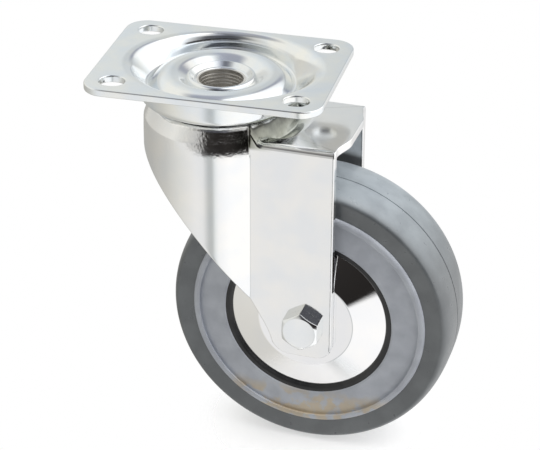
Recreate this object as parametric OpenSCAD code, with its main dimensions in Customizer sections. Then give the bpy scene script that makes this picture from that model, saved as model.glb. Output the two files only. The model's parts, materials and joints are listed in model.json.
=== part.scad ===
// Swivel castor with a pressed steel top plate and fork and an 80 mm rubber-tyred wheel.
// Origin: the middle of the top plate's upper face, on the swivel axis. +Z is up.
// The wheel trails towards +X, and its axle lies across the fork, close to the Y axis.

/* [Overall] */
// Height from the floor to the top of the plate
total_h = 108; // [106:0.5:112]
// Distance from the swivel axis to the wheel's axle
trail = 28.3; // [27:0.1:29]
// Direction in which the fork trails at rest, in degrees about +Z
fork_yaw = -3; // [-180:1:180]

/* [Top plate] */
// Length of the plate along X
plate_l = 64.8; // [62:0.1:70]
// Width of the plate along Y
plate_w = 48; // [47:0.5:52]
// Radius of the plate's corners
plate_corner_r = 6; // [5:0.5:10]
// Thickness of the plate's sheet
plate_t = 2; // [1.8:0.1:2.2]
// Distance between the slots along X
slot_dx = 50; // [50:0.5:52]
// Distance between the slots along Y
slot_dy = 35; // [34:0.5:36]
// Width of each slot
slot_w = 6.2; // [5:0.1:6.5]
// Length of each slot, end to end
slot_l = 7; // [6.6:0.1:8.5]

/* [Swivel bearing] */
// Radius of the circle through the upper balls
upper_race_r = 14; // [13.8:0.1:14.2]
// Diameter of the upper balls
upper_ball_d = 6.35; // [6:0.05:6.35]
// Radius of the circle through the lower balls
lower_race_r = 10.4; // [10.3:0.1:10.5]
// Diameter of the lower balls
lower_ball_d = 4.76; // [4.5:0.02:4.76]
// Number of balls in each ring
ball_n = 13; // [10:1:13]
// Clearance between a ball and its track
ball_gap = 0.06; // [0.03:0.01:0.08]

/* [Fork] */
// Thickness of the fork's sheet
fork_t = 2.4; // [2.2:0.1:2.5]
// Outer radius of the fork's round head
head_r = 21.2; // [20.8:0.1:21.6]
// Width of the fork over its legs
fork_w = 32; // [31.6:0.1:33]
// Distance from the swivel axis to the legs' rear edges
leg_rear_x = 36.4; // [35:0.1:38]
// Height from the top of the plate down to the flat bridge
bridge_drop = 13.85; // [13.7:0.05:14]

/* [Wheel] */
// Diameter of the wheel
wheel_d = 80; // [78:0.5:80]
// Width of the tyre
tyre_w = 22; // [20:0.5:22]
// Radius of the step between the tyre and the wheel centre
rim_r = 32.2; // [31:0.1:33]
// Radius of the black hub core's rim
core_r = 24.3; // [24:0.1:25]
// Radius of the cover discs
disc_r = 22.7; // [22:0.1:23]
// Number of bearing rollers
roller_n = 9; // [7:1:9]

/* [Axle] */
// Diameter of the axle bolt
bolt_d = 6; // [5:1:6]
// Width of the bolt head and the nut across their flats
hex_af = 10; // [8:1:10]
// Height of the bolt head
head_h = 3.6; // [3:0.1:4]

/* [Hidden] */

fine = 96;
bend_steps = 7;
far = 60;
eps = 0.01;

// Plate pressing, as radius and height of the middle of the sheet
plate_reach = 45;
rim_bend_r = 26.5;
rim_bend_radius = 4;
valley_r = 19.9;
valley_radius = 1.6;
valley_drop = 7.6;
seat_drop = 4.85;
seat_bend_r = 8.9;
seat_bend_radius = 2.2;
kingpin_hole_r = 7.6;
upper_ball_z = -7.2;

// Fork pressing
shoulder_radius = 3;
shoulder_drop = 11.85;
lip_r = 17.35;
lip_drop = 9.4;
lip_radius = 1.3;
bridge_bend_r = 2;
dip_r = 22.4;
dip_depth = 1;
dip_radius = 1.8;
dip_edge_r = 25.5;
dip_edge_radius = 3;
crown_end_angle = 105;
crown_hole_r = 9.2;
dip_plan_w = [18.4, 10.2];
leg_sweep_r = 165;
leg_sweep_top = [-18.7, -23.7];
leg_sweep_low = [18.9, -71.5];
leg_foot = 9.5;
leg_front_corner_r = 6;
leg_rear_corner_r = 4.5;
bridge_tab = 1.9;
bridge_tab_flat = 5.5;
bridge_tab_end = 13.4;
axle_hole_gap = 0.2;

// Swivel bearing
upper_track_r = upper_ball_d / 2 + ball_gap;
lower_track_r = lower_ball_d / 2 + ball_gap;
lower_ball_z = -14.55;
race_t = 1.8;
race_lip_angle = 165;
kingpin_bore_r = 6.1;
kingpin_shoulder_r = 8.4;
kingpin_shoulder_h = 3;
kingpin_flange_r = 9.4;
kingpin_flange_t = 1.5;
kingpin_rim_radius = 1.2;

// Wheel
wheel_r = wheel_d / 2;
axle_z = wheel_r - total_h;
tread_r = wheel_r - 2.6;
tread_power = 2.25;
tread_steps = 12;
tyre_side = 0.35;
parting_line_w = 0.3;
parting_line_x = 0.9;
parting_line_depth = 0.12;
rib_h = 2;
rib_w = 7;
centre_side = 10.55;
centre_lip = 0.35;
centre_lip_w = 0.5;
core_side = 10.2;
core_wall = 1.5;
core_web = 2.5;
hub_r = 11.5;
hub_side = 12.4;
disc_t = 0.8;
disc_edge = 10.3;
disc_edge_bend_r = 0.7;
disc_flat_r = 13.2;
disc_flat_bend_r = 1.2;
liner_outer_r = 7.6;
liner_inner_r = 6.6;
sleeve_outer_r = 4;
sleeve_bore_r = bolt_d / 2 + 0.1;
roller_r = 1.25;
roller_l = 20;
roller_track_r = sleeve_outer_r + roller_r + 0.03;
cage_r = [4.4, 6.2];
cage_l = 23.6;
pocket_gap = 0.1;
leg_gap = fork_w / 2 - fork_t;
washer_r = 6.6;
washer_gap = 0.2;

// Axle
bolt_thread = 7.4;
nut_h = 4.4;
nut_collar_h = 2;
nut_collar_r = 4.4;
plain_washer_t = 1;
plain_washer_r = 6;

// Points along an arc about c, with radius r, from angle a to angle b
function arc(c, r, a, b, n) =
  [for (i = [0:n]) c + r * [cos(a + (b - a) * i / n), sin(a + (b - a) * i / n)]];

// A pressed sheet runs inwards over bends. Each bend is [radius, height, sheet radius, side],
// and its side is 1 when the sheet passes over it and -1 when the sheet passes under it.
// This is the angle of the sheet's upward normal between bend i and the next one.
function run_angle(b, i) =
  let (d = [b[i + 1][0] - b[i][0], b[i + 1][1] - b[i][1]])
  let (k = (b[i][3] * b[i][2] - b[i + 1][3] * b[i + 1][2]) / norm(d))
  let (turn = atan2(d[1], d[0]))
  (turn < 0 ? turn + 360 : turn) - acos(k);

// One face of the sheet, set off from its middle, between the normals at its two ends
function sheet_face(b, off, first, last) =
  [for (i = [0:len(b) - 1])
    let (a = i == 0 ? first : run_angle(b, i - 1))
    let (z = i == len(b) - 1 ? last : run_angle(b, i))
    for (p = arc([b[i][0], b[i][1]], b[i][3] * b[i][2] + off, a, z, bend_steps)) p];

function backwards(list) = [for (i = [len(list) - 1:-1:0]) list[i]];

// The sheet's outline in section, with optional straight runs beyond its first and last bends
function sheet(b, t, first, last, start = [], end = []) =
  concat(
    [for (p = start) p + [0, t / 2]], sheet_face(b, t / 2, first, last), [for (p = end) p + [0, t / 2]],
    [for (p = end) p - [0, t / 2]], backwards(sheet_face(b, -t / 2, first, last)),
    [for (p = start) p - [0, t / 2]]);

// Centre of the circle of radius r through p and q that lies to the left of the way from p to q
function circle_centre(p, q, r) =
  let (half = (q - p) / 2)
  let (rise = sqrt(r * r - half * half))
  (p + q) / 2 + rise * [-half[1], half[0]] / norm(half);

plate_bends = [
  [rim_bend_r, -plate_t / 2 - rim_bend_radius, rim_bend_radius, 1],
  [valley_r, -valley_drop + valley_radius, valley_radius, -1],
  [upper_race_r, upper_ball_z, upper_track_r + plate_t / 2, 1],
  [seat_bend_r, -seat_drop + seat_bend_radius, seat_bend_radius, -1]
];

shoulder_bend = [head_r - shoulder_radius, -shoulder_drop - shoulder_radius, shoulder_radius - fork_t / 2, 1];
lip_bend = [lip_r, -lip_drop - lip_radius - fork_t / 2, lip_radius, 1];
upper_track_bend = [upper_race_r, upper_ball_z, upper_track_r + fork_t / 2, -1];
lower_track_bend = [lower_race_r, lower_ball_z, lower_track_r + fork_t / 2, 1];
bridge_mid = -bridge_drop - fork_t / 2;
dip_bends = [
  [dip_edge_r, bridge_mid - dip_edge_radius, dip_edge_radius, 1],
  [dip_r, bridge_mid - dip_depth + dip_radius, dip_radius, -1]
];
crown_bends = [shoulder_bend, lip_bend, upper_track_bend, lower_track_bend];

module slot(l, w, h) {
  translate([-(l - w) / 2, -w / 2, 0]) cube([l - w, w, h]);
  for (side = [-1, 1]) translate([side * (l - w) / 2, 0, 0]) cylinder(d = w, h = h, $fn = fine);
}

module rounded_plate(l, w, r, h) {
  translate([-l / 2 + r, -w / 2, 0]) cube([l - 2 * r, w, h]);
  translate([-l / 2, -w / 2 + r, 0]) cube([l, w - 2 * r, h]);
  for (x = [-1, 1], y = [-1, 1])
    translate([x * (l / 2 - r), y * (w / 2 - r), 0]) cylinder(r = r, h = h, $fn = fine);
}

module ring_of_balls(n, ring_r, d, z) {
  for (i = [0:n - 1]) rotate([0, 0, i * 360 / n]) translate([ring_r, 0, z]) sphere(d = d, $fn = 32);
}

// Places what is drawn along Z on the wheel's axle, with +Z towards the fork's left side, -Y
module on_fork() rotate([0, 0, fork_yaw]) children();
module on_axle() on_fork() translate([trail, 0, axle_z]) rotate([90, 0, 0]) children();

module hexagon_prism(af, h) cylinder(d = af / cos(30), h = h, $fn = 6);

module tube(outer, inner, h) {
  difference() {
    cylinder(r = outer, h = h, $fn = fine);
    translate([0, 0, -1]) cylinder(r = inner, h = h + 2, $fn = fine);
  }
}

module top_plate() {
  color([0.86, 0.88, 0.9])
    difference() {
      intersection() {
        translate([0, 0, -far / 2]) rounded_plate(plate_l, plate_w, plate_corner_r, far);
        rotate_extrude($fn = fine)
          polygon(sheet(plate_bends, plate_t, 90, 90, [[plate_reach, -plate_t / 2]], [[0, -seat_drop]]));
      }
      translate([0, 0, -far / 2]) cylinder(r = kingpin_hole_r, h = far, $fn = fine);
      for (x = [-1, 1], y = [-1, 1])
        translate([x * slot_dx / 2, y * slot_dy / 2, -far / 2]) slot(slot_l, slot_w, far);
    }
}

// Hollow pin, upset over the plate at the top and under the lower race at the bottom
module kingpin() {
  top = -seat_drop + plate_t / 2;
  under_plate = top - plate_t;
  under_race = lower_ball_z - lower_track_r - race_t;
  color([0.8, 0.78, 0.74])
    rotate_extrude($fn = fine)
      polygon(concat(
        [[kingpin_bore_r, under_race - kingpin_flange_t],
         [kingpin_flange_r, under_race - kingpin_flange_t],
         [kingpin_flange_r, under_race],
         [kingpin_hole_r, under_race],
         [kingpin_hole_r, under_plate - kingpin_shoulder_h],
         [kingpin_shoulder_r, under_plate - kingpin_shoulder_h],
         [kingpin_shoulder_r, under_plate],
         [kingpin_hole_r, under_plate],
         [kingpin_hole_r, top]],
        arc([kingpin_bore_r + kingpin_rim_radius, top - kingpin_rim_radius], kingpin_rim_radius, 90, 180,
            bend_steps)));
}

module lower_race() {
  color([0.72, 0.72, 0.7])
    rotate_extrude($fn = fine)
      polygon(sheet([[lower_race_r, lower_ball_z, lower_track_r + race_t / 2, -1]], race_t, race_lip_angle, 90,
                    [], [[kingpin_hole_r, lower_ball_z - lower_track_r - race_t / 2]]));
}

module upper_balls() {
  color([0.85, 0.85, 0.87]) ring_of_balls(ball_n, upper_race_r, upper_ball_d, upper_ball_z);
}

module lower_balls() {
  color([0.85, 0.85, 0.87]) ring_of_balls(ball_n, lower_race_r, lower_ball_d, lower_ball_z);
}

// Side view of the fork: a long concave sweep in front and a rounded foot under the axle
module fork_side_outline() {
  foot_z = axle_z - leg_foot;
  sweep_c = circle_centre(leg_sweep_low, leg_sweep_top, leg_sweep_r);
  a_low = atan2(leg_sweep_low[1] - sweep_c[1], leg_sweep_low[0] - sweep_c[0]);
  a_top = atan2(leg_sweep_top[1] - sweep_c[1], leg_sweep_top[0] - sweep_c[0]) + 1.2;
  polygon(concat(
    arc(sweep_c, leg_sweep_r, a_top, a_low, 24),
    arc([leg_sweep_low[0] + leg_front_corner_r, foot_z + leg_front_corner_r], leg_front_corner_r, 215, 270, 6),
    arc([leg_rear_x - leg_rear_corner_r, foot_z + leg_rear_corner_r], leg_rear_corner_r, 270, 360, 8),
    [[leg_rear_x, 0], [-head_r - 1, 0]]));
}

// Plan of the bridge's rear end: its middle stands a little further back than the legs
module bridge_plan() {
  half = fork_w / 2;
  polygon(concat(
    [[0, -half], [leg_rear_x, -half]],
    [for (y = [-half:1:half])
      let (t = max(0, min(1, (bridge_tab_end - abs(y)) / (bridge_tab_end - bridge_tab_flat))))
      [leg_rear_x + bridge_tab * (1 - cos(180 * t)) / 2, y]],
    [[leg_rear_x, half], [0, half]]));
}

// Section across the legs: a channel with rounded upper corners, or the space inside it
module channel_outside() {
  half = fork_w / 2;
  r = bridge_bend_r;
  translate([-half, -far * 2]) square([fork_w, far * 2 - r]);
  translate([-half + r, -far]) square([fork_w - 2 * r, far]);
  for (side = [-1, 1]) translate([side * (half - r), -r]) circle(r = r, $fn = fine);
}

module channel_inside() translate([-leg_gap, -far * 2]) square([2 * leg_gap, far * 2 - fork_t]);

module along_legs() translate([0, 0, -bridge_drop]) rotate([90, 0, 90]) linear_extrude(height = far) children();

module across_legs() rotate([90, 0, 0]) linear_extrude(height = far, center = true) children();

// All that lies under the crown's upper or lower face, down past the wheel
module head_solid(off) {
  face = sheet_face(crown_bends, off, 0, crown_end_angle);
  rotate_extrude($fn = fine)
    polygon(concat(face, [[0, face[len(face) - 1][1]], [0, -far * 2], [face[0][0], -far * 2]]));
}

// What lies over the dip's upper or lower face, between the crown and the bridge
module dip_space(off) {
  face = sheet_face(dip_bends, off, 90, 90);
  intersection() {
    rotate_extrude($fn = fine)
      polygon(concat(face, [[upper_race_r, face[len(face) - 1][1]], [upper_race_r, 0], [face[0][0], 0]]));
    translate([0, 0, -far]) linear_extrude(height = far)
      polygon([[0, -dip_plan_w[0]], [far, -dip_plan_w[0]], [dip_edge_r, -dip_plan_w[1]],
               [dip_edge_r, dip_plan_w[1]], [far, dip_plan_w[0]], [0, dip_plan_w[0]]]);
  }
}

module fork() {
  color([0.82, 0.82, 0.8])
    on_fork()
      difference() {
        intersection() {
          union() {
            head_solid(fork_t / 2);
            difference() {
              intersection() {
                along_legs() channel_outside();
                translate([0, 0, -far * 2]) linear_extrude(height = far * 2) bridge_plan();
              }
              dip_space(fork_t / 2);
            }
          }
          across_legs()
            union() {
              fork_side_outline();
              translate([leg_rear_x - 1, -bridge_drop - fork_t]) square([bridge_tab + 1, fork_t]);
            }
        }
        head_solid(-fork_t / 2);
        difference() {
          along_legs() channel_inside();
          intersection() {
            dip_space(-fork_t / 2);
            translate([0, 0, -far]) cube([far, far, far]);
          }
        }
        translate([0, 0, -far]) cylinder(r = crown_hole_r, h = far, $fn = fine);
        translate([trail, 0, axle_z]) rotate([90, 0, 0])
          cylinder(r = bolt_d / 2 + axle_hole_gap, h = far, center = true, $fn = fine);
      }
}

module axle_bolt() {
  head_z = fork_w / 2;
  shank = fork_w + plain_washer_t + bolt_thread;
  color([0.84, 0.85, 0.87])
    on_axle() {
      intersection() {
        translate([0, 0, head_z]) rotate([0, 0, 30]) hexagon_prism(hex_af, head_h);
        translate([0, 0, head_z])
          rotate_extrude($fn = fine)
            polygon([[0, 0], [hex_af * 0.6, 0], [hex_af * 0.6, head_h - 0.9],
                     [hex_af * 0.46, head_h], [0, head_h]]);
      }
      translate([0, 0, head_z - shank]) cylinder(d = bolt_d, h = shank, $fn = fine);
    }
}

module axle_washer() {
  color([0.8, 0.8, 0.8])
    on_axle()
      translate([0, 0, -fork_w / 2 - plain_washer_t]) tube(plain_washer_r, sleeve_bore_r, plain_washer_t);
}

module axle_nut() {
  seat = -fork_w / 2 - plain_washer_t;
  color([0.8, 0.8, 0.78])
    on_axle()
      difference() {
        union() {
          translate([0, 0, seat - nut_h]) rotate([0, 0, 30]) hexagon_prism(hex_af, nut_h);
          translate([0, 0, seat - nut_h - nut_collar_h]) cylinder(r = nut_collar_r, h = nut_collar_h, $fn = fine);
        }
        translate([0, 0, -far]) cylinder(d = bolt_d, h = far, $fn = fine);
        translate([0, 0, seat - nut_h - nut_collar_h + 0.4]) cylinder(r = 3.7, h = nut_collar_h - 0.4, $fn = fine);
      }
}

module nut_lock_ring() {
  color([0.15, 0.3, 0.65])
    on_axle()
      translate([0, 0, -fork_w / 2 - plain_washer_t - nut_h - nut_collar_h + 0.4])
        tube(3.7, bolt_d / 2, nut_collar_h - 0.4);
}

module axle_sleeve() {
  color([0.6, 0.6, 0.62])
    on_axle() translate([0, 0, -leg_gap]) tube(sleeve_outer_r, sleeve_bore_r, 2 * leg_gap);
}

module hub_washers() {
  t = leg_gap - hub_side - washer_gap;
  color([0.9, 0.9, 0.86])
    on_axle()
      for (side = [0, 1]) mirror([0, 0, side])
        translate([0, 0, leg_gap - t]) tube(washer_r, sleeve_outer_r, t);
}

// Height of the tread above its shoulders at a distance x from the middle of the tyre
function tread(x) =
  tread_r + (wheel_r - tread_r) * pow(1 - pow(abs(2 * x / tyre_w), tread_power), 1 / tread_power);

module tyre() {
  half = tyre_w / 2;
  cuts = [for (i = [0:2 * tread_steps]) half * sin(-90 + 90 * i / tread_steps)];
  before = [for (x = cuts) if (x < parting_line_x - parting_line_w / 2) [tread(x), x]];
  after = [for (x = cuts) if (x > parting_line_x + parting_line_w / 2) [tread(x), x]];
  groove = [for (k = [-1, 0, 1])
    let (x = parting_line_x + k * parting_line_w / 2)
    [tread(x) - (k == 0 ? parting_line_depth : 0), x]];
  color([0.42, 0.43, 0.44])
    on_axle()
      rotate_extrude($fn = fine * 1.5)
        polygon(concat(
          [[rim_r, -rib_w / 2], [rim_r, -half + tyre_side]],
          before, groove, after,
          [[rim_r, half - tyre_side], [rim_r, rib_w / 2], [rim_r + rib_h, rib_w / 2 - 1],
           [rim_r + rib_h, -rib_w / 2 + 1]]));
}

// Moulded ring between the tyre and the hub core, with a fine raised lip at each side's edge
module wheel_centre() {
  half_profile = [
    [core_r, centre_side], [rim_r - centre_lip_w - 0.3, centre_side],
    [rim_r - centre_lip_w, centre_side + centre_lip / 2], [rim_r, centre_side + centre_lip / 2],
    [rim_r, rib_w / 2], [rim_r + rib_h, rib_w / 2 - 1]];
  color([0.62, 0.64, 0.66])
    on_axle()
      rotate_extrude($fn = fine)
        polygon(concat(half_profile, [for (p = backwards(half_profile)) [p[0], -p[1]]]));
}

module hub_core() {
  color([0.1, 0.1, 0.1])
    on_axle()
      union() {
        translate([0, 0, -core_side]) tube(core_r, core_r - core_wall, 2 * core_side);
        translate([0, 0, -core_web]) tube(core_r - core_wall, hub_r, 2 * core_web);
        translate([0, 0, -hub_side]) tube(hub_r, liner_outer_r, 2 * hub_side);
      }
}

// Thin conical cover with a turned-down edge and a flat middle
disc_bends = [
  [disc_r - disc_t / 2 - disc_edge_bend_r, disc_edge - disc_t / 2 - disc_edge_bend_r, disc_edge_bend_r, 1],
  [disc_flat_r, hub_side + disc_t / 2 - disc_flat_bend_r, disc_flat_bend_r, 1]
];

module cover_disc() {
  color([0.9, 0.91, 0.93])
    rotate_extrude($fn = fine)
      polygon(sheet(disc_bends, disc_t, 0, 90, [], [[liner_outer_r, hub_side + disc_t / 2]]));
}

module cover_disc_outer() {
  on_axle() cover_disc();
}

module cover_disc_inner() {
  on_axle() mirror([0, 0, 1]) cover_disc();
}

module bearing_liner() {
  color([0.55, 0.55, 0.57])
    on_axle() translate([0, 0, -hub_side]) tube(liner_outer_r, liner_inner_r, 2 * hub_side);
}

module rollers(r, l) {
  for (i = [0:roller_n - 1]) rotate([0, 0, i * 360 / roller_n])
    translate([roller_track_r, 0, -l / 2]) cylinder(r = r, h = l, $fn = 32);
}

module roller_cage() {
  color([0.88, 0.86, 0.78])
    on_axle()
      difference() {
        translate([0, 0, -cage_l / 2]) tube(cage_r[1], cage_r[0], cage_l);
        rollers(roller_r + pocket_gap, roller_l + 2 * pocket_gap);
      }
}

module bearing_rollers() {
  color([0.8, 0.8, 0.82]) on_axle() rollers(roller_r, roller_l);
}

top_plate();
kingpin();
lower_race();
upper_balls();
lower_balls();
fork();
axle_bolt();
axle_washer();
axle_nut();
nut_lock_ring();
axle_sleeve();
hub_washers();
tyre();
wheel_centre();
hub_core();
cover_disc_outer();
cover_disc_inner();
bearing_liner();
roller_cage();
bearing_rollers();
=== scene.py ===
"""Looks of the swivel castor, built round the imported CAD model.

Lengths inside this script are millimetres, and each mesh is scaled to metres when it is made. The
pressings, the turned parts and the hexagons are rebuilt here with rounded edges, in the places that the
frame gives them. Only the sleeve, washers and bearing inside the wheel keep their CAD shapes.
"""

import json
import math

import bmesh
import bpy
import numpy as np
from mathutils import Matrix, Vector
from mathutils.geometry import delaunay_2d_cdt


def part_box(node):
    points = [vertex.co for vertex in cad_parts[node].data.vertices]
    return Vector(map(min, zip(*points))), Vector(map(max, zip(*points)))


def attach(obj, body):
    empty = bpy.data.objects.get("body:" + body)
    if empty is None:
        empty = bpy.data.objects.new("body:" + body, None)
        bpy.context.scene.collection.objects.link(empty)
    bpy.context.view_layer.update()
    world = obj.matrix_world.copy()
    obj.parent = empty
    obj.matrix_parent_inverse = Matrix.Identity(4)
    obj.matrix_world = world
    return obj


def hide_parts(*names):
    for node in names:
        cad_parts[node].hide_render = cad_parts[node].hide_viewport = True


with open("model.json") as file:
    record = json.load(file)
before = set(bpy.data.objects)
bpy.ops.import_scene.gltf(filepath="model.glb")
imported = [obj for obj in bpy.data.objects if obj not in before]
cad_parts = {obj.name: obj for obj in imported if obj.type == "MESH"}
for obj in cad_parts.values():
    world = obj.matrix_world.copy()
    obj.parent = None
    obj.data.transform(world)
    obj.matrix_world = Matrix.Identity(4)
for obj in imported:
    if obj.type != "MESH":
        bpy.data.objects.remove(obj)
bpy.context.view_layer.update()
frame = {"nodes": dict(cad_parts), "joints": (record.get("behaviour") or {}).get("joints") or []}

MM = 0.001
FINE = 192
COARSE = 96
WELD_M = 1e-7
SHARP_ANGLE = 38


def node_box(node):
    low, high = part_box(node)
    return low / MM, high / MM


def joint(name):
    return next(j for j in frame["joints"] if j["name"] == name)


# Driving dimensions, from the frame
plate_low, plate_high = node_box("top_plate")
tyre_low, tyre_high = node_box("tyre")
spin = joint("wheel_spin")
axle_centre = Vector(spin["pos_m"]) / MM
trail = math.hypot(axle_centre.x, axle_centre.y)
fork_yaw = math.atan2(-spin["axis"][0], spin["axis"][1])
wheel_r = (tyre_high.z - tyre_low.z) / 2
axle_z = (tyre_high.z + tyre_low.z) / 2
floor_z = tyre_low.z

ON_PLATE = Matrix.Identity(4)
ON_FORK = Matrix.Rotation(fork_yaw, 4, "Z")
ON_AXLE = ON_FORK @ Matrix.Translation((trail, 0, axle_z)) @ Matrix.Rotation(math.pi / 2, 4, "X")
ON_AXLE_BACK = ON_AXLE @ Matrix.Rotation(math.pi, 4, "Y")

# Top plate. DISH_LIP_BEND is the bend at the oval's left end and at its right end.
PLATE_T = 2.0
PLATE_CORNER_R = 6.0
PLATE_EDGE = 0.35
OUTLINE_GAP = 0.7
DISH_CENTRE = (0.8, 0.0)
DISH_LIP = (28.0, 23.0)
DISH_LIP_BEND = (4.2, 5.0)
DISH_DEPTH = 5.6
DISH_UNDER = 8.6
VALLEY_R = 19.9
VALLEY_BEND = 1.0
UNDER_BEND = 2.6
RACE_R = 14.0
BALL_Z = -7.2
TRACK_R = 3.235
SEAT_R = 8.9
SEAT_DROP = 3.85
SEAT_BEND = 1.2
PIN_HOLE_R = 7.6
SLOT_SPACING = (50.0, 35.0)
SLOT_L = 7.0
SLOT_W = 6.2
SLOT_GAP = 0.6

# Swivel bearing
BALLS = 13
UPPER_BALL_D = 6.35
LOWER_BALL_D = 4.76
LOWER_RACE_R = 10.4
LOWER_BALL_Z = -14.55
LOWER_TRACK_R = 2.44
RACE_T = 1.8
RACE_BOTTOM = LOWER_BALL_Z - LOWER_TRACK_R - RACE_T
PIN_BORE_R = 6.1
PIN_RIM_BEND = 1.2
PIN_HEAD_R = 8.5
PIN_HEAD_H = 2.2
PIN_HEAD_RISE = 0.02
PIN_HEAD_FIT = 0.4
PIN_COLLAR_R = 8.4
PIN_COLLAR_H = 3.0
PIN_FLANGE_R = 9.4
PIN_FLANGE_T = 1.5
BORE_GROOVES = 4
GROOVE_HALF = 0.12
GROOVE_DEPTH = 0.06

# Fork
FORK_T = 2.4
FORK_EDGE = 0.3
HEAD_R = 21.2
LEG_Y = 16.0
REAR_X = 36.4
BRIDGE_Z = -13.85
CROWN_HOLE_R = 9.2
CROWN_FINE_R = 16.0
CROWN_FILLET = 0.9
SHOULDER_BEND = 3.0
SHOULDER_Z = -14.85
LIP_R = 17.35
LIP_Z = -11.9
LIP_BEND = 2.5
LEG_BEND = 1.8
MIN_BEND = 0.4
CREASE_BEND = 0.8
CREASE_TUCK = 0.45
FRONT_LEAN = 2.0
SIDE_LEAN = 17.0
LEAN_H = 6.0
LEAN_STEPS = 8
FOLD_STEPS = 6
WALL_STEPS = 24
HEAD_STATIONS = 60
CREASE_STATIONS = 6
LEG_STATIONS = 44
DIP_DEPTH = 1.1
DIP_REAR_R = 25.5
DIP_REAR_RAMP = 4.0
DIP_SIDE = 13.7
DIP_SIDE_RAMP = 2.6
DIP_TAPER = 0.3
DIP_TAPER_X = 13.5
TAB_X = 1.9
TAB_SIDE = 13.4
TAB_RAMP = 7.9
SWEEP_TOP = (-18.7, -23.7)
SWEEP_LOW = (18.9, -71.5)
SWEEP_R = 165.0
SWEEP_TRIM = 1.6
FOOT_DROP = 9.5
FOOT_FRONT_R = 6.0
FOOT_REAR_R = 4.5

# Wheel
TYRE_HALF = 11.0
TYRE_CROWN = 2.6
TYRE_POWER = 2.7
TYRE_SIDE_STEP = 0.35
SEAM_X = 0.9
SEAM_HALF = (0.24, 0.06)
SEAM_DEPTH = 0.28
RIM_R = 32.2
RIM_BEAD = 0.08
RIB_H = 2.0
RIB_HALF = (3.5, 2.5)
CENTRE_SIDE = 10.55
CORE_R = 24.3
CORE_WALL = 1.5
CORE_SIDE = 10.2
WEB_HALF = 2.5
HUB_R = 11.5
HUB_SIDE = 12.4
DISC_R = 22.7
DISC_T = 0.8
DISC_EDGE = 10.3
DISC_EDGE_BEND = 1.1
DISC_FLAT_R = 13.2
DISC_FLAT_BEND = 1.6
LINER_R = 7.6

# Axle
BOLT_R = 3.0
BOLT_END = 7.4
THREAD_PITCH = 1.0
THREAD_DEPTH = 0.5
THREAD_L = 12.0
THREAD_ROW = 0.125
HEX_AF = 10.0
HEX_CORNER_R = 0.35
HEX_FLAT_SHARE = 0.46
HEX_CHAMFER = 0.62
HEAD_H = 3.6
NUT_H = 4.4
NUT_COLLAR_H = 2.0
NUT_COLLAR_R = 4.4
NUT_RING_R = 3.6
WASHER_R = 6.0
WASHER_T = 1.0

# Materials. Places are on the resting object. POCKET_SHADE, a painted shade, goes outwards from the crown,
# over POCKET_SHADE_REACH.
ZINC_CLOUD = 0.12
ZINC_GRAIN = 0.0015
MOULDED_CLOUD = 0.15
MOULDED_GRAIN = 0.02
DRAWN_Z = (-20.0, -15.5)
DRAWN_X = (14.0, 10.0)
DRAWN_GRAIN = 0.05
DRAWN_ROUGHNESS = 0.01
POCKET_SHADE_REACH = (16.0, 28.0)
POCKET_SHADE_WOBBLE = 2.4
POCKET_SHADE_X = (6.0, 11.0)
POCKET_SHADE_Z = (-16.4, -15.2)
# Painted shade: dark bands of the fork's colour round the crown, with a pale band left between them.
POCKET_SHADE = [
    (0.0, (0.16, 0.15, 0.13)), (0.14, (0.2, 0.19, 0.17)), (0.2, (1, 1, 1)), (0.32, (1, 1, 1)),
    (0.38, (0.1, 0.1, 0.09)), (0.5, (0.3, 0.31, 0.27)), (0.66, (0.75, 0.77, 0.72)), (0.9, (1, 1, 1)),
]
STAIN = (1.15, 0.94, 0.66)
STAIN_Y = (-4.0, -8.0)
STAIN_Z = (-89.0, -95.0)
STAIN_PATCHES = (0.44, 0.56)
TREAD_R = (37.6, 39.4)
TREAD_TINT = (0.72, 0.73, 0.74)
# The next two lines paint a highlight: a paler tread where it is on top at rest.
TOP_HIGHLIGHT_Z = (-56.0, -27.0)
TOP_HIGHLIGHT_TINT = (3.3, 3.33, 3.38)
RUBBER_SPECULAR = 0.8


# ------------------------ outlines


def arc(centre, radius, start, end, steps):
    """Points on an arc about centre, with angles in degrees."""
    turns = (math.radians(start + (end - start) * i / steps) for i in range(steps + 1))
    return [(centre[0] + radius * math.cos(t), centre[1] + radius * math.sin(t)) for t in turns]


def run_angle(one, two):
    """Angle of the upward normal, in degrees, of the straight run between two bends of a sheet."""
    dx = two[0] - one[0]
    dz = two[1] - one[1]
    turn = math.degrees(math.atan2(dz, dx)) % 360
    lean = (one[3] * one[2] - two[3] * two[2]) / math.hypot(dx, dz)
    return turn - math.degrees(math.acos(lean))


def sheet_face(bends, first, last, steps):
    """The face that runs over the bends. Each bend is (x, z, radius of this face, side), outermost first."""
    points = []
    for i, (x, z, radius, side) in enumerate(bends):
        start = first if i == 0 else run_angle(bends[i - 1], bends[i])
        end = last if i == len(bends) - 1 else run_angle(bends[i], bends[i + 1])
        points += arc((x, z), side * radius, start, end, steps)
    return points


def rounded(corners, steps=4):
    """A closed outline with a fillet at each corner. Each corner is (r, x, fillet radius)."""
    points = []
    count = len(corners)
    for i, (r, x, fillet) in enumerate(corners):
        here = Vector((r, x))
        if fillet == 0:
            points.append(tuple(here))
            continue
        before = (Vector(corners[i - 1][:2]) - here).normalized()
        after = (Vector(corners[(i + 1) % count][:2]) - here).normalized()
        half = before.angle(after) / 2
        centre = here + (before + after).normalized() * fillet / math.sin(half)
        one = here + before * fillet / math.tan(half) - centre
        two = here + after * fillet / math.tan(half) - centre
        for k in range(steps + 1):
            points.append(tuple(centre + one.slerp(two, k / steps)))
    return points


# ------------------------ meshes


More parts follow.
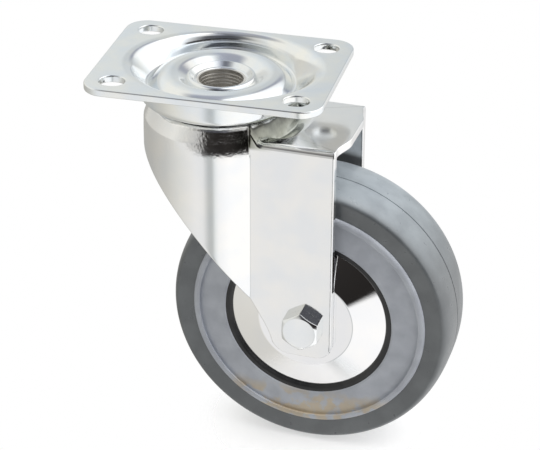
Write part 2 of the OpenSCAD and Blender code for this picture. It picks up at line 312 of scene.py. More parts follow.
def make_mesh(name, points, faces, place):
    """A welded mesh in metres, with its normals outwards and smooth between sharp edges."""
    mesh = bpy.data.meshes.new(name)
    mesh.from_pydata([place @ Vector(p) * MM for p in points], [], faces)
    shape = bmesh.new()
    shape.from_mesh(mesh)
    bmesh.ops.remove_doubles(shape, verts=shape.verts, dist=WELD_M)
    bmesh.ops.dissolve_degenerate(shape, edges=shape.edges, dist=WELD_M)
    bmesh.ops.recalc_face_normals(shape, faces=shape.faces)
    shape.to_mesh(mesh)
    shape.free()
    mesh.shade_smooth()
    mesh.set_sharp_from_angle(angle=math.radians(SHARP_ANGLE))
    return mesh


def add_object(data):
    thing = bpy.data.objects.new(data.name, data)
    bpy.context.scene.collection.objects.link(thing)
    return thing


def make_piece(mesh, body, node, slot):
    """A piece that rides on a body, stands for a CAD node and takes its finish from a slot."""
    piece = add_object(mesh)
    mesh.materials.clear()
    mesh.materials.append(LOOKS[slot])
    weighted = piece.modifiers.new("even normals", "WEIGHTED_NORMAL")
    weighted.keep_sharp = True
    weighted.weight = 80
    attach(piece, body)
    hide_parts(node)


def ring_faces(rings, per_ring, quads):
    """Quads from each ring of points to the next, and from the last ring to the first."""
    faces = []
    for i in range(rings):
        here = i * per_ring
        there = (i + 1) % rings * per_ring
        for k in range(quads):
            nxt = (k + 1) % per_ring
            faces.append((here + k, here + nxt, there + nxt, there + k))
    return faces


def turned(name, outline, place, steps=FINE):
    """A turned solid. outline is a closed list of (radius, height along the axis)."""
    points = []
    for i in range(steps):
        c = math.cos(2 * math.pi * i / steps)
        s = math.sin(2 * math.pi * i / steps)
        points += [(r * c, r * s, h) for r, h in outline]
    n = len(outline)
    return make_mesh(name, points, ring_faces(steps, n, n), place)


def vertex_normals(points, faces):
    """Area-weighted normals of an open surface."""
    p = np.array(points)
    normals = np.zeros_like(p)
    for face in faces:
        ring = p[list(face)]
        flat = np.cross(ring, np.roll(ring, -1, axis=0)).sum(axis=0)
        normals[list(face)] += flat
    return normals / np.linalg.norm(normals, axis=1)[:, None]


def pressed(name, outer, inner, faces, edge_r, place):
    """Closes two matching faces of a sheet into a solid. Its cut edges are rounded, edge_r past the faces."""
    outer_n = vertex_normals(outer, faces)
    count = len(outer)
    points = [tuple(p) for p in outer] + [tuple(p) for p in inner]
    solid = [tuple(f) for f in faces] + [tuple(i + count for i in reversed(f)) for f in faces]
    sides = {(f[i], f[(i + 1) % len(f)]) for f in faces for i in range(len(f))}
    border = [(a, b) for a, b in sides if (b, a) not in sides]
    out_dirs = {}
    for a, b in border:
        along = np.array(outer[b]) - np.array(outer[a])
        for v in (a, b):
            out_dirs[v] = out_dirs.get(v, 0) + np.cross(along, outer_n[v]) / np.linalg.norm(along)
    strip = {}
    for v, direction in out_dirs.items():
        direction = direction / np.linalg.norm(direction)
        top = np.array(outer[v])
        low = np.array(inner[v])
        down = (low - top) / np.linalg.norm(low - top)
        ring = []
        for base, sink in ((top, down), (low, -down)):
            part = []
            for angle in (30, 60, 90):
                t = math.radians(angle)
                part.append(base + direction * edge_r * math.sin(t) + sink * edge_r * (1 - math.cos(t)))
            ring.append(part)
        strip[v] = []
        for p in ring[0] + ring[1][::-1]:
            strip[v].append(len(points))
            points.append(tuple(p))
    for a, b in border:
        one = [a, *strip[a], a + count]
        two = [b, *strip[b], b + count]
        for k in range(len(one) - 1):
            solid.append((two[k], one[k], one[k + 1], two[k + 1]))
    return make_mesh(name, points, solid, place)


# ------------------------ materials


def new_material(name):
    material = bpy.data.materials.new(name)
    material.use_nodes = True
    return material


def tree(material):
    """The material's node tree and its shader."""
    return material.node_tree, material.node_tree.nodes["Principled BSDF"]


def metres(limits):
    return [limit * MM for limit in limits]


def object_axes(net):
    """The three coordinates on the resting object, in metres."""
    where = net.nodes.new("ShaderNodeTexCoord")
    split = net.nodes.new("ShaderNodeSeparateXYZ")
    net.links.new(where.outputs["Object"], split.inputs["Vector"])
    return split.outputs["X"], split.outputs["Y"], split.outputs["Z"]


def object_noise(net, scale, detail):
    """Noise over the object's own coordinates. scale is in features per millimetre."""
    where = net.nodes.new("ShaderNodeTexCoord")
    mapping = net.nodes.new("ShaderNodeMapping")
    mapping.inputs["Scale"].default_value = [1 / MM] * 3
    noise = net.nodes.new("ShaderNodeTexNoise")
    noise.inputs["Scale"].default_value = scale
    noise.inputs["Detail"].default_value = detail
    net.links.new(where.outputs["Object"], mapping.inputs["Vector"])
    net.links.new(mapping.outputs["Vector"], noise.inputs["Vector"])
    return noise.outputs["Fac"]


def ramp(net, value, stops):
    """A colour ramp over value. Each stop is (position, colour)."""
    node = net.nodes.new("ShaderNodeValToRGB")
    while len(node.color_ramp.elements) < len(stops):
        node.color_ramp.elements.new(0.5)
    for element, (position, colour) in zip(node.color_ramp.elements, stops):
        element.position = position
        element.color = (*colour, 1)
    net.links.new(value, node.inputs["Fac"])
    return node.outputs["Color"]


def mapped(net, value, source, target=(0, 1), kind="LINEAR"):
    """value carried from the source range to the target range, and held at its ends."""
    node = net.nodes.new("ShaderNodeMapRange")
    node.interpolation_type = kind
    limits = (*source, *target)
    for socket, limit in zip(("From Min", "From Max", "To Min", "To Max"), limits):
        node.inputs[socket].default_value = limit
    net.links.new(value, node.inputs["Value"])
    return node.outputs["Result"]


def zone(net, value, limits):
    """0 at the first limit and 1 at the second, eased between them. The first may be the larger."""
    target = (0, 1) if limits[0] < limits[1] else (1, 0)
    return mapped(net, value, sorted(limits), target, "SMOOTHSTEP")


def combine(net, operation, one, two):
    node = net.nodes.new("ShaderNodeMath")
    node.operation = operation
    for value, socket in ((one, node.inputs[0]), (two, node.inputs[1])):
        if isinstance(value, float):
            socket.default_value = value
        else:
            net.links.new(value, socket)
    return node.outputs["Value"]


def distance(net, *legs):
    """Distance in metres over two legs, each a coordinate and the place it is measured from."""
    squares = []
    for coordinate, place in legs:
        offset = combine(net, "SUBTRACT", coordinate, place * MM)
        squares.append(combine(net, "MULTIPLY", offset, offset))
    return combine(net, "SQRT", combine(net, "ADD", *squares), 0.0)


def mixed(net, share, one, two, blend="MIX"):
    """Colour one, and colour two blended over it as far as share goes. two may be a fixed colour."""
    mix = net.nodes.new("ShaderNodeMix")
    mix.data_type = "RGBA"
    mix.blend_type = blend
    net.links.new(share, mix.inputs[0])
    net.links.new(one, mix.inputs[6])
    if isinstance(two, tuple):
        mix.inputs[7].default_value = (*two, 1)
    else:
        net.links.new(two, mix.inputs[7])
    return mix.outputs[2]


def tinted(net, shader, share, tint):
    """Multiplies the material's colour by tint, as far as share goes."""
    colour = shader.inputs["Base Color"]
    net.links.new(mixed(net, share, colour.links[0].from_socket, tint, "MULTIPLY"), colour)


def bump(net, shader, height, depth_mm):
    """Raises the surface by height times depth_mm, on top of any bump it has."""
    node = net.nodes.new("ShaderNodeBump")
    node.inputs["Strength"].default_value = 1.0
    node.inputs["Distance"].default_value = depth_mm * MM
    net.links.new(height, node.inputs["Height"])
    normal = shader.inputs["Normal"]
    if normal.is_linked:
        net.links.new(normal.links[0].from_socket, node.inputs["Normal"])
    net.links.new(node.outputs["Normal"], normal)


def mottled(material, colours, edges, cloud, roughness, patch, grain, grain_mm):
    """Colour that drifts between two, patchy roughness, and a fine grain. cloud, patch and grain are
    (features per millimetre, detail), and roughness and edges are ranges."""
    net, shader = tree(material)
    drift = object_noise(net, *cloud)
    net.links.new(ramp(net, drift, list(zip(edges, colours))), shader.inputs["Base Color"])
    patches = mapped(net, object_noise(net, *patch), (0.3, 0.7), roughness)
    net.links.new(patches, shader.inputs["Roughness"])
    bump(net, shader, object_noise(net, *grain), grain_mm)


def zinc(name, cool, warm, roughness):
    """Bright zinc plating or plain steel: a metal whose tint drifts, with a fine rolled grain."""
    material = new_material(name)
    tree(material)[1].inputs["Metallic"].default_value = 1.0
    spread = (roughness * 0.8, roughness * 1.3)
    cloud = (ZINC_CLOUD, 4.0)
    mottled(material, (cool, warm), (0.35, 0.65), cloud, spread, (0.35, 6.0), (2.2, 5.0), ZINC_GRAIN)
    return material


def moulded(name, dark, light, roughness):
    """Rubber or plastic: mottled, with a fine moulded grain."""
    material = new_material(name)
    spread = (roughness * 0.9, roughness * 1.15)
    cloud = (MOULDED_CLOUD, 5.0)
    mottled(material, (dark, light), (0.38, 0.62), cloud, spread, (0.4, 5.0), (4.0, 4.0), MOULDED_GRAIN)
    return material


def drawn_grain(material):
    """Roughens the top of the fork's round head, where the sheet was stretched over the die."""
    net, shader = tree(material)
    x, _, z = object_axes(net)
    high = zone(net, z, metres(DRAWN_Z))
    both = combine(net, "MULTIPLY", high, zone(net, x, metres(DRAWN_X)))
    dulled = combine(net, "MULTIPLY", both, DRAWN_ROUGHNESS)
    polish = shader.inputs["Roughness"].links[0].from_socket
    net.links.new(combine(net, "ADD", polish, dulled), shader.inputs["Roughness"])
    pits = combine(net, "MULTIPLY", object_noise(net, 1.5, 2.0), both)
    bump(net, shader, pits, DRAWN_GRAIN)


def paint_pocket_shade(material):
    """Painted shade: darkens the fork's colour on the crown and in the pocket between the crown and the
    bridge.
    """
    net, shader = tree(material)
    x, y, z = object_axes(net)
    radius = distance(net, (x, 0.0), (y, 0.0))
    wobble = combine(net, "MULTIPLY", object_noise(net, 0.3, 2.0), POCKET_SHADE_WOBBLE * MM)
    spot = combine(net, "ADD", radius, wobble)
    # painted shade, dark and pale bands outwards from the crown
    painted_shade = ramp(net, mapped(net, spot, metres(POCKET_SHADE_REACH)), POCKET_SHADE)
    behind = zone(net, x, metres(POCKET_SHADE_X))
    top = zone(net, z, metres(POCKET_SHADE_Z))
    tinted(net, shader, combine(net, "MULTIPLY", behind, top), painted_shade)


def tread_tint_and_painted_highlight(material):
    """Darker rubber round the tread, and a painted highlight: paler rubber on the part that is on top at
    rest.
    """
    net, shader = tree(material)
    x, _, z = object_axes(net)
    axle = ON_AXLE.translation
    tread = zone(net, distance(net, (x, axle.x), (z, axle.z)), metres(TREAD_R))
    tinted(net, shader, tread, TREAD_TINT)
    # painted highlight: paler rubber on the top of the tread
    lit_top = combine(net, "MULTIPLY", tread, zone(net, z, metres(TOP_HIGHLIGHT_Z)))
    tinted(net, shader, lit_top, TOP_HIGHLIGHT_TINT)


def ring_stains(material):
    """Faint tan stains on the lower part of the wheel's grey ring."""
    net, shader = tree(material)
    _, y, z = object_axes(net)
    low = zone(net, z, metres(STAIN_Z))
    near = zone(net, y, metres(STAIN_Y))
    patches = zone(net, object_noise(net, 0.22, 5.0), STAIN_PATCHES)
    corner = combine(net, "MULTIPLY", low, near)
    tinted(net, shader, combine(net, "MULTIPLY", corner, patches), STAIN)


# The material of each slot in the record
LOOKS = {
    "zinc_plate": zinc("plate zinc", (0.76, 0.80, 0.84), (0.84, 0.84, 0.81), 0.13),
    "zinc_fork": zinc("fork zinc", (0.80, 0.81, 0.82), (0.85, 0.84, 0.82), 0.1),
    "bright_zinc": zinc("disc zinc", (0.84, 0.84, 0.85), (0.87, 0.86, 0.85), 0.035),
    "zinc_bolt": zinc("bolt zinc", (0.80, 0.82, 0.84), (0.88, 0.88, 0.86), 0.12),
    "kingpin_steel": zinc("kingpin steel", (0.60, 0.58, 0.55), (0.84, 0.82, 0.78), 0.4),
    "race_steel": zinc("race steel", (0.52, 0.52, 0.51), (0.66, 0.65, 0.63), 0.3),
    "bearing_steel": zinc("ball steel", (0.70, 0.70, 0.72), (0.80, 0.80, 0.80), 0.08),
    "grey_rubber": moulded("tyre rubber", (0.095, 0.104, 0.110), (0.122, 0.133, 0.139), 0.3),
    "grey_centre": moulded("wheel centre", (0.39, 0.41, 0.455), (0.47, 0.495, 0.54), 0.5),
    "black_core": moulded("black core", (0.008, 0.008, 0.009), (0.02, 0.02, 0.021), 0.45),
    "pale_nylon": moulded("pale nylon", (0.70, 0.67, 0.58), (0.80, 0.77, 0.68), 0.45),
    "blue_nylon": moulded("blue nylon", (0.02, 0.07, 0.28), (0.03, 0.10, 0.36), 0.45),
}
drawn_grain(LOOKS["zinc_fork"])
# Painted shade on the fork, behind the crown.
paint_pocket_shade(LOOKS["zinc_fork"])
# Painted highlight on the top of the tread.
tread_tint_and_painted_highlight(LOOKS["grey_rubber"])
ring_stains(LOOKS["grey_centre"])
tree(LOOKS["grey_rubber"])[1].inputs["Specular IOR Level"].default_value = RUBBER_SPECULAR


# ------------------------ top plate


def lip_radius(angle):
    """Distance from the pin to the dish's oval lip."""
    along = Vector((math.cos(angle), math.sin(angle)))
    step = Vector((along.x / DISH_LIP[0], along.y / DISH_LIP[1]))
    shift = Vector((DISH_CENTRE[0] / DISH_LIP[0], DISH_CENTRE[1] / DISH_LIP[1]))
    across = step.dot(shift)
    size = step.length_squared
    return (across + math.sqrt(across * across - size * (shift.length_squared - 1))) / size


def dish_profile(angle, depth):
    """Radii and heights along one ray from the pin's hole to the lip, on the face that is depth below
    the upper one. The lip's bend is kept small enough to leave a straight run down to the valley."""
    lip = lip_radius(angle)
    reach = lip - VALLEY_R
    room = (reach * reach + DISH_DEPTH * DISH_DEPTH) / (2 * DISH_DEPTH)
    wanted = float(np.interp(math.cos(angle), (-1, 1), DISH_LIP_BEND))
    lip_bend = min(0.94 * room - VALLEY_BEND, wanted)
    valley = UNDER_BEND if depth else VALLEY_BEND
    bottom = DISH_UNDER if depth else DISH_DEPTH
    bends = [
        (lip, -lip_bend, lip_bend - depth, 1),
        (VALLEY_R, valley - bottom, valley, -1),
        (RACE_R, BALL_Z, TRACK_R + PLATE_T - depth, 1),
        (SEAT_R, SEAT_BEND - SEAT_DROP, SEAT_BEND + depth, -1),
    ]
    return [(PIN_HOLE_R + PLATE_EDGE, -SEAT_DROP - depth)] + sheet_face(bends, 90, 90, 12)[::-1]


def plate_outline(inset):
    half = (plate_high - plate_low) / 2 - Vector((inset, inset, 0))
    corner = PLATE_CORNER_R - inset
    points = []
    for quarter, (sx, sy) in enumerate(((1, 1), (-1, 1), (-1, -1), (1, -1))):
        centre = (sx * (half.x - corner), sy * (half.y - corner))
        points += arc(centre, corner, 90 * quarter, 90 * quarter + 90, 14)
    return points


def between(points, gap):
    """The closed outline with extra points, so that none are further apart than gap."""
    full = []
    for i, p in enumerate(points):
        q = points[(i + 1) % len(points)]
        parts = max(1, math.ceil(math.dist(p, q) / gap))
        dx, dy = q[0] - p[0], q[1] - p[1]
        full += [(p[0] + dx * k / parts, p[1] + dy * k / parts) for k in range(parts)]
    return full


def slot_outline(x, y, outset):
    radius = SLOT_W / 2 + outset
    half = (SLOT_L - SLOT_W) / 2
    points = arc((x + half, y), radius, -90, 90, 16) + arc((x - half, y), radius, 90, 270, 16)
    return between(points, SLOT_GAP)


def inside_slot(x, y, margin):
    dx = max(0.0, abs(abs(x) - SLOT_SPACING[0] / 2) - (SLOT_L - SLOT_W) / 2)
    return math.hypot(dx, abs(y) - SLOT_SPACING[1] / 2) < SLOT_W / 2 + margin


def inside_plate(x, y, margin):
    half = (plate_high - plate_low) / 2
    dx = abs(x) - (half.x - PLATE_CORNER_R)
    dy = abs(y) - (half.y - PLATE_CORNER_R)
    if dx > 0 and dy > 0:
        return math.hypot(dx, dy) < PLATE_CORNER_R - margin
    return max(dx, dy) < PLATE_CORNER_R - margin


def dish_rays(depth):
    """Rays of points over the dish, from the pin's hole to the lip."""
    rays = []
    for i in range(FINE):
        angle = 2 * math.pi * i / FINE
        profile = dish_profile(angle, depth)
        rays.append([(r * math.cos(angle), r * math.sin(angle), z) for r, z in profile])
    return rays


def flat_loops(lip):
    """The outlines of the plate's flat part: the dish's lip, the plate's edge and the four slots."""
    loops = [lip, between(plate_outline(PLATE_EDGE), OUTLINE_GAP)]
    for sx in (-1, 1):
        for sy in (-1, 1):
            loops.append(slot_outline(sx * SLOT_SPACING[0] / 2, sy * SLOT_SPACING[1] / 2, PLATE_EDGE))
    return loops


def on_flat(p):
    in_dish = p.length < lip_radius(math.atan2(p.y, p.x))
    return inside_plate(*p, PLATE_EDGE) and not in_dish and not inside_slot(*p, PLATE_EDGE)


def plate_mesh():
    """Rays of quads over the dish, joined at its lip to triangles over the flat part."""
    upper = dish_rays(0.0)
    top = [p for ray in upper for p in ray]
    under = [p for ray in dish_rays(PLATE_T) for p in ray]
    per_ray = len(upper[0])
    faces = ring_faces(FINE, per_ray, per_ray - 1)
    loops = flat_loops([ray[-1][:2] for ray in upper])
    points = [Vector(p) for loop in loops for p in loop]
    edges = []
    start = 0
    for loop in loops:
        edges += [(start + i, start + (i + 1) % len(loop)) for i in range(len(loop))]
        start += len(loop)
    flat, _, triangles, sources, _, _ = delaunay_2d_cdt(points, edges, [], 0, 1e-6)
    place = []
    for p, source in zip(flat, sources):
        if source[0] < FINE:
            place.append((source[0] + 1) * per_ray - 1)
            continue
        place.append(len(top))
        top.append((p.x, p.y, 0.0))
        under.append((p.x, p.y, -PLATE_T))
    for tri in triangles:
        if on_flat(sum((flat[i] for i in tri), Vector((0, 0))) / 3):
            faces.append(tuple(place[i] for i in tri))
    return pressed("plate_pressing", top, under, faces, PLATE_EDGE, ON_PLATE)


# ------------------------ swivel bearing


def kingpin_mesh():
    """The tube below the plate's seat, with a collar under the plate, a flange under the race and fine
    grooves in its bore."""
    top = -SEAT_DROP - PIN_HEAD_FIT
    collar_z = -SEAT_DROP - PLATE_T
    collar_low = collar_z - PIN_COLLAR_H
    flange_z = RACE_BOTTOM - PIN_FLANGE_T
    outline = [
        (PIN_BORE_R, flange_z, 0.3), (PIN_FLANGE_R, flange_z, 0.5), (PIN_FLANGE_R, RACE_BOTTOM, 0.3),
        (PIN_HOLE_R, RACE_BOTTOM, 0), (PIN_HOLE_R, collar_low, 0), (PIN_COLLAR_R, collar_low, 0.2),
        (PIN_COLLAR_R, collar_z, 0), (PIN_HOLE_R, collar_z, 0), (PIN_HOLE_R, top, 0), (PIN_BORE_R, top, 0),
    ]
    for k in range(1, BORE_GROOVES + 1):
        outline += [
            (PIN_BORE_R, top - k, 0), (PIN_BORE_R + GROOVE_DEPTH, top - k - GROOVE_HALF, 0),
            (PIN_BORE_R, top - k - 2 * GROOVE_HALF, 0),
        ]
    return turned("kingpin_tube", rounded(outline, 8), ON_PLATE)


def pin_head_mesh():
    """The pin's upset head, pressed flush into the plate's seat."""
    top = PIN_HEAD_RISE - SEAT_DROP
    low = top - PIN_HEAD_H
    neck = PIN_HOLE_R - PIN_HEAD_FIT
    outline = [
        (PIN_BORE_R, top, PIN_RIM_BEND), (PIN_BORE_R, low, 0), (neck, low, 0), (neck, top - 0.5, 0),
        (PIN_HEAD_R, top - 0.1, 0), (PIN_HEAD_R, top, 0.04),
    ]
    return turned("pin_head", rounded(outline, 8), ON_PLATE)


def race_mesh():
    centre = (LOWER_RACE_R, LOWER_BALL_Z)
    upper = arc(centre, LOWER_TRACK_R, 345, 270, 16) + [(PIN_HOLE_R, LOWER_BALL_Z - LOWER_TRACK_R)]
    under = [(PIN_HOLE_R, RACE_BOTTOM)] + arc(centre, LOWER_TRACK_R + RACE_T, 270, 345, 16)
    return turned("lower_race_ring", upper + under, ON_PLATE)


def ball_mesh(name, ring_r, diameter, height):
    shape = bmesh.new()
    first = Matrix.Translation((ring_r * MM, 0, height * MM))
    for i in range(BALLS):
        place = Matrix.Rotation(2 * math.pi * i / BALLS, 4, "Z") @ first
        radius = diameter / 2 * MM
        bmesh.ops.create_uvsphere(shape, u_segments=32, v_segments=20, radius=radius, matrix=place)
    mesh = bpy.data.meshes.new(name)
    shape.to_mesh(mesh)
    shape.free()
    mesh.shade_smooth()
    return mesh


# ------------------------ fork


def head_bends(depth, lean):
    """The crown's two outer bends, on the face that is depth below the outer one.
    lean is the angle in degrees of the wall's top, which straightens over LEAN_H."""
    straight = HEAD_R - LEAN_H * math.tan(math.radians(lean)) / 2
    return [
        (straight - SHOULDER_BEND * math.cos(math.radians(lean)), SHOULDER_Z, SHOULDER_BEND - depth, 1),
        (LIP_R, LIP_Z, LIP_BEND - depth, 1),
    ]


def head_profile():
    """Radii and heights of the crown's upper face, from its hole out to the top of the round wall."""
    race = (RACE_R, BALL_Z, TRACK_R, -1)
    middle = (LOWER_RACE_R, LOWER_BALL_Z, LOWER_TRACK_R + FORK_T, 1)
    return sheet_face(head_bends(0.0, FRONT_LEAN) + [race, middle], 0, 105, 12)[::-1]


HEAD_LINE_R, HEAD_LINE_Z = zip(*head_profile())


def smooth_step(t):
    t = min(1.0, max(0.0, t))
    return t * t * (3 - 2 * t)


def crown_height(r):
    """Height of the round head's upper face. Past its wall it drops away."""
    if r < HEAD_R:
        return float(np.interp(r, HEAD_LINE_R, HEAD_LINE_Z))
    return SHOULDER_Z - 12 * (r - HEAD_R)


def bridge_height(x, y):
    """The flat bridge, with the pocket pressed into it behind the crown."""
    rear = DIP_REAR_R - math.hypot(x, y)
    side = DIP_SIDE - DIP_TAPER * max(0.0, x - DIP_TAPER_X) - abs(y)
    pocket = smooth_step(rear / DIP_REAR_RAMP) * smooth_step(side / DIP_SIDE_RAMP)
    return BRIDGE_Z - DIP_DEPTH * pocket


def blend_max(a, b, reach):
    """The larger of two heights, with a fillet where they cross."""
    h = max(0.0, reach - abs(a - b)) / reach
    return max(a, b) + h * h * reach / 4


def fork_height(x, y):
    crown = crown_height(math.hypot(x, y))
    if x < 0:
        return crown
    return blend_max(crown, bridge_height(x, y), CROWN_FILLET)


def low_edge():
    """The fork's lower edge from its front to its rear, as (x, z) in its side view."""
    top, low = Vector(SWEEP_TOP), Vector(SWEEP_LOW)
    half = (top - low) / 2
    rise = math.sqrt(SWEEP_R**2 - half.length_squared)
    centre = (top + low) / 2 + rise * Vector((-half.y, half.x)).normalized()
    start = math.degrees(math.atan2(top.y - centre.y, top.x - centre.x)) + SWEEP_TRIM
    end = math.degrees(math.atan2(low.y - centre.y, low.x - centre.x))
    foot = axle_z - FOOT_DROP
    front = (SWEEP_LOW[0] + FOOT_FRONT_R, foot + FOOT_FRONT_R)
    rear = (REAR_X - FOOT_REAR_R, foot + FOOT_REAR_R)
    points = arc(centre, SWEEP_R, start, end, 24)
    return points + arc(front, FOOT_FRONT_R, 215, 270, 8) + arc(rear, FOOT_REAR_R, 270, 360, 16)


LOW_X, LOW_Z = zip(*low_edge())


def head_wall(depth, turned_by):
    """From the crown's lip down to the wall, as steps outwards from the lip and heights.
    turned_by is the angle from the head's front. The wall leans in more as it nears the legs."""
    lean = FRONT_LEAN + (SIDE_LEAN - FRONT_LEAN) * smooth_step((turned_by - 70) / 25)
    line = sheet_face(head_bends(depth, lean), lean, 90, FOLD_STEPS)[::-1]
    r, z = line[-1]
    for k in range(1, LEAN_STEPS + 1):
        u = k / LEAN_STEPS
        line.append((r + LEAN_H * math.tan(math.radians(lean)) * (u - u * u / 2), z - LEAN_H * u))
    return [(r - LIP_R, z) for r, z in line]


def leg_wall(depth, top):
    """The fold between the bridge and a leg, as steps outwards and heights."""
    fold = max(LEG_BEND - depth, MIN_BEND)
    line = arc((0.0, top - fold), fold, 90, 0, 2 * FOLD_STEPS + 1)
    low = line[-1][1]
    return line + [(fold, low - LEAN_H * k / LEAN_STEPS) for k in range(1, LEAN_STEPS + 1)]


def wall_stations():
    """Places round the fork's walls, from the right leg's rear edge round the head to the left leg's.
    Each is (x, y, outward x, outward y, share of the leg's shape)."""
    near_r = HEAD_R - CREASE_TUCK
    crease_x = math.sqrt((near_r + CREASE_BEND) ** 2 - (LEG_Y + CREASE_BEND) ** 2)
    turn = math.degrees(math.atan2(LEG_Y + CREASE_BEND, crease_x))
    left = []
    for i in range(1, HEAD_STATIONS + 1):
        share = i / HEAD_STATIONS
        angle = math.radians(180 + (180 - turn) * share)
        radius = HEAD_R - CREASE_TUCK * smooth_step((share - 0.8) / 0.2)
        nx, ny = math.cos(angle), math.sin(angle)
        left.append((radius * nx, radius * ny, nx, ny, 0.0))
    for i in range(1, CREASE_STATIONS + 1):
        share = i / CREASE_STATIONS
        angle = math.radians(180 - turn + (turn - 90) * share)
        nx, ny = -math.cos(angle), -math.sin(angle)
        x = crease_x - CREASE_BEND * nx
        y = -LEG_Y - CREASE_BEND - CREASE_BEND * ny
        left.append((x, y, nx, ny, smooth_step(share)))
    for i in range(1, LEG_STATIONS + 1):
        x = crease_x + (REAR_X - crease_x) * math.sin(math.pi / 2 * i / LEG_STATIONS)
        left.append((x, -LEG_Y, 0.0, -1.0, 1.0))
    right = [(x, -y, nx, -ny, share) for x, y, nx, ny, share in reversed(left)]
    return right + [(-HEAD_R, 0.0, -1.0, 0.0, 0.0)] + left


def tab_x(y):
    """The bridge's rear edge, which stands out between the legs."""
    return REAR_X + TAB_X * smooth_step((TAB_SIDE - abs(y)) / TAB_RAMP)


def crown_samples(edge_r):
    """Radii along one ray from the hole to the inner end of the bend, closest where the crown curves."""
    inner = list(np.linspace(CROWN_HOLE_R, CROWN_FINE_R, 22))[:-1]
    mid_end = min(26.0, CROWN_FINE_R + (edge_r - CROWN_FINE_R) * 0.7)
    middle = list(np.linspace(CROWN_FINE_R, mid_end, 30))[:-1]
    return inner + middle + list(np.linspace(mid_end, edge_r, 9))


def fork_rims(depth):
    """For each place round the fork: where the top ends, in x and y, and its wall from there down.
    The last places, along the bridge's rear edge, have no wall."""
    rims = []
    walls = []
    for x, y, nx, ny, share in wall_stations():
        x -= FORK_EDGE * (x > REAR_X - FORK_EDGE)
        fold = max(LEG_BEND - depth, MIN_BEND)
        inset = (HEAD_R - LIP_R) * (1 - share) + (depth + fold) * share
        px, py = x - nx * inset, y - ny * inset
        rims.append((px, py))
        turned_by = 180 - abs(math.degrees(math.atan2(y, x)))
        pairs = zip(head_wall(depth, turned_by), leg_wall(depth, fork_height(px, py) - depth))
        line = [(a + (c - a) * share, b + (d - b) * share) for (a, b), (c, d) in pairs]
        low = float(np.interp(x, LOW_X, LOW_Z)) + FORK_EDGE
        out, start = line[-1]
        line += [(out, start + (low - start) * k / WALL_STEPS) for k in range(1, WALL_STEPS + 1)]
        walls.append([(px + nx * step, py + ny * step, z) for step, z in line[1:]])
    last_y = rims[-1][1]
    rims += [(tab_x(y) - FORK_EDGE, y) for y in np.linspace(last_y, -last_y, 42)[1:-1]]
    return rims, walls


def sunk(points, faces, depth, rims):
    """The points moved depth inwards, straight down at the rims and along the normals elsewhere."""
    normals = vertex_normals(points, faces)
    normals *= np.sign(normals[:, 2:3])
    moved = []
    for i, (p, n) in enumerate(zip(points, normals)):
        moved.append((p[0], p[1], p[2] - depth) if i in rims else tuple(np.array(p) - n * depth))
    return moved


def fork_layer(depth):
    """One face of the fork's sheet, depth below its outer face, as (points, faces)."""
    rims, walls = fork_rims(depth)
    points = []
    for px, py in rims:
        length = math.hypot(px, py)
        for r in crown_samples(length):
            x, y = px * r / length, py * r / length
            points.append((x, y, fork_height(x, y)))
    count = len(rims)
    per_ray = len(points) // count
    faces = ring_faces(count, per_ray, per_ray - 1)
    if depth:
        points = sunk(points, faces, depth, {(i + 1) * per_ray - 1 for i in range(count)})
    start = len(points)
    per_wall = len(walls[0])
    columns = []
    for i, wall in enumerate(walls):
        points += wall
        columns.append([(i + 1) * per_ray - 1] + [start + i * per_wall + k for k in range(per_wall)])
    for one, two in zip(columns, columns[1:]):
        faces += [(one[k], one[k + 1], two[k + 1], two[k]) for k in range(per_wall)]
    return points, faces


def fork_mesh():
    outer, faces = fork_layer(0.0)
    inner, _ = fork_layer(FORK_T)
    return pressed("fork_pressing", outer, inner, faces, FORK_EDGE, ON_FORK)


# ------------------------ wheel


def both_sides(half):
    """The closed outline of a ring that is the same on both sides of the wheel's middle."""
    return half + [(r, -x, fillet) for r, x, fillet in reversed(half)]


def tyre_mesh():
    """A fat tread with a fine seam beside its middle, and a groove inside it for the centre's rib."""
    shoulder = wheel_r - TYRE_CROWN
    line = []
    steps = 60
    for i in range(steps + 1):
        x = TYRE_HALF * math.sin(math.pi * (i / steps - 0.5))
        rise = max(0.0, 1 - abs(x / TYRE_HALF) ** TYRE_POWER) ** (1 / TYRE_POWER)
        line.append((shoulder + TYRE_CROWN * rise, x))
    seam = next(i for i, (r, x) in enumerate(line) if x > SEAM_X)
    r = line[seam][0]
    low = r - SEAM_DEPTH
    wide, narrow = SEAM_HALF
    cut = [(r, SEAM_X - wide), (low, SEAM_X - narrow), (low, SEAM_X + narrow), (r, SEAM_X + wide)]
    line[seam:seam + 1] = cut
    side = TYRE_HALF - TYRE_SIDE_STEP
    base, crest = RIB_HALF
    groove = [(RIM_R, base), (RIM_R + RIB_H, crest), (RIM_R + RIB_H, -crest), (RIM_R, -base)]
    return turned("rubber_tyre", [(RIM_R, -side)] + line + [(RIM_R, side)] + groove, ON_AXLE, FINE * 2)


def centre_mesh():
    base, crest = RIB_HALF
    bead = CENTRE_SIDE + RIM_BEAD
    half = [
        (CORE_R, CENTRE_SIDE, 0.25), (RIM_R - 0.55, CENTRE_SIDE, 0), (RIM_R - 0.4, bead, 0.03),
        (RIM_R, bead, 0.03), (RIM_R, base, 0), (RIM_R + RIB_H, crest, 0),
    ]
    return turned("centre_ring", rounded(both_sides(half)), ON_AXLE, FINE * 2)


def core_mesh():
    inner = CORE_R - CORE_WALL
    half = [
        (LINER_R, HUB_SIDE, 0), (HUB_R, HUB_SIDE, 0.3), (HUB_R, WEB_HALF, 0.5), (inner, WEB_HALF, 0.5),
        (inner, CORE_SIDE, 0.25), (CORE_R, CORE_SIDE, 0.25),
    ]
    return turned("core_moulding", rounded(both_sides(half)), ON_AXLE, FINE * 2)


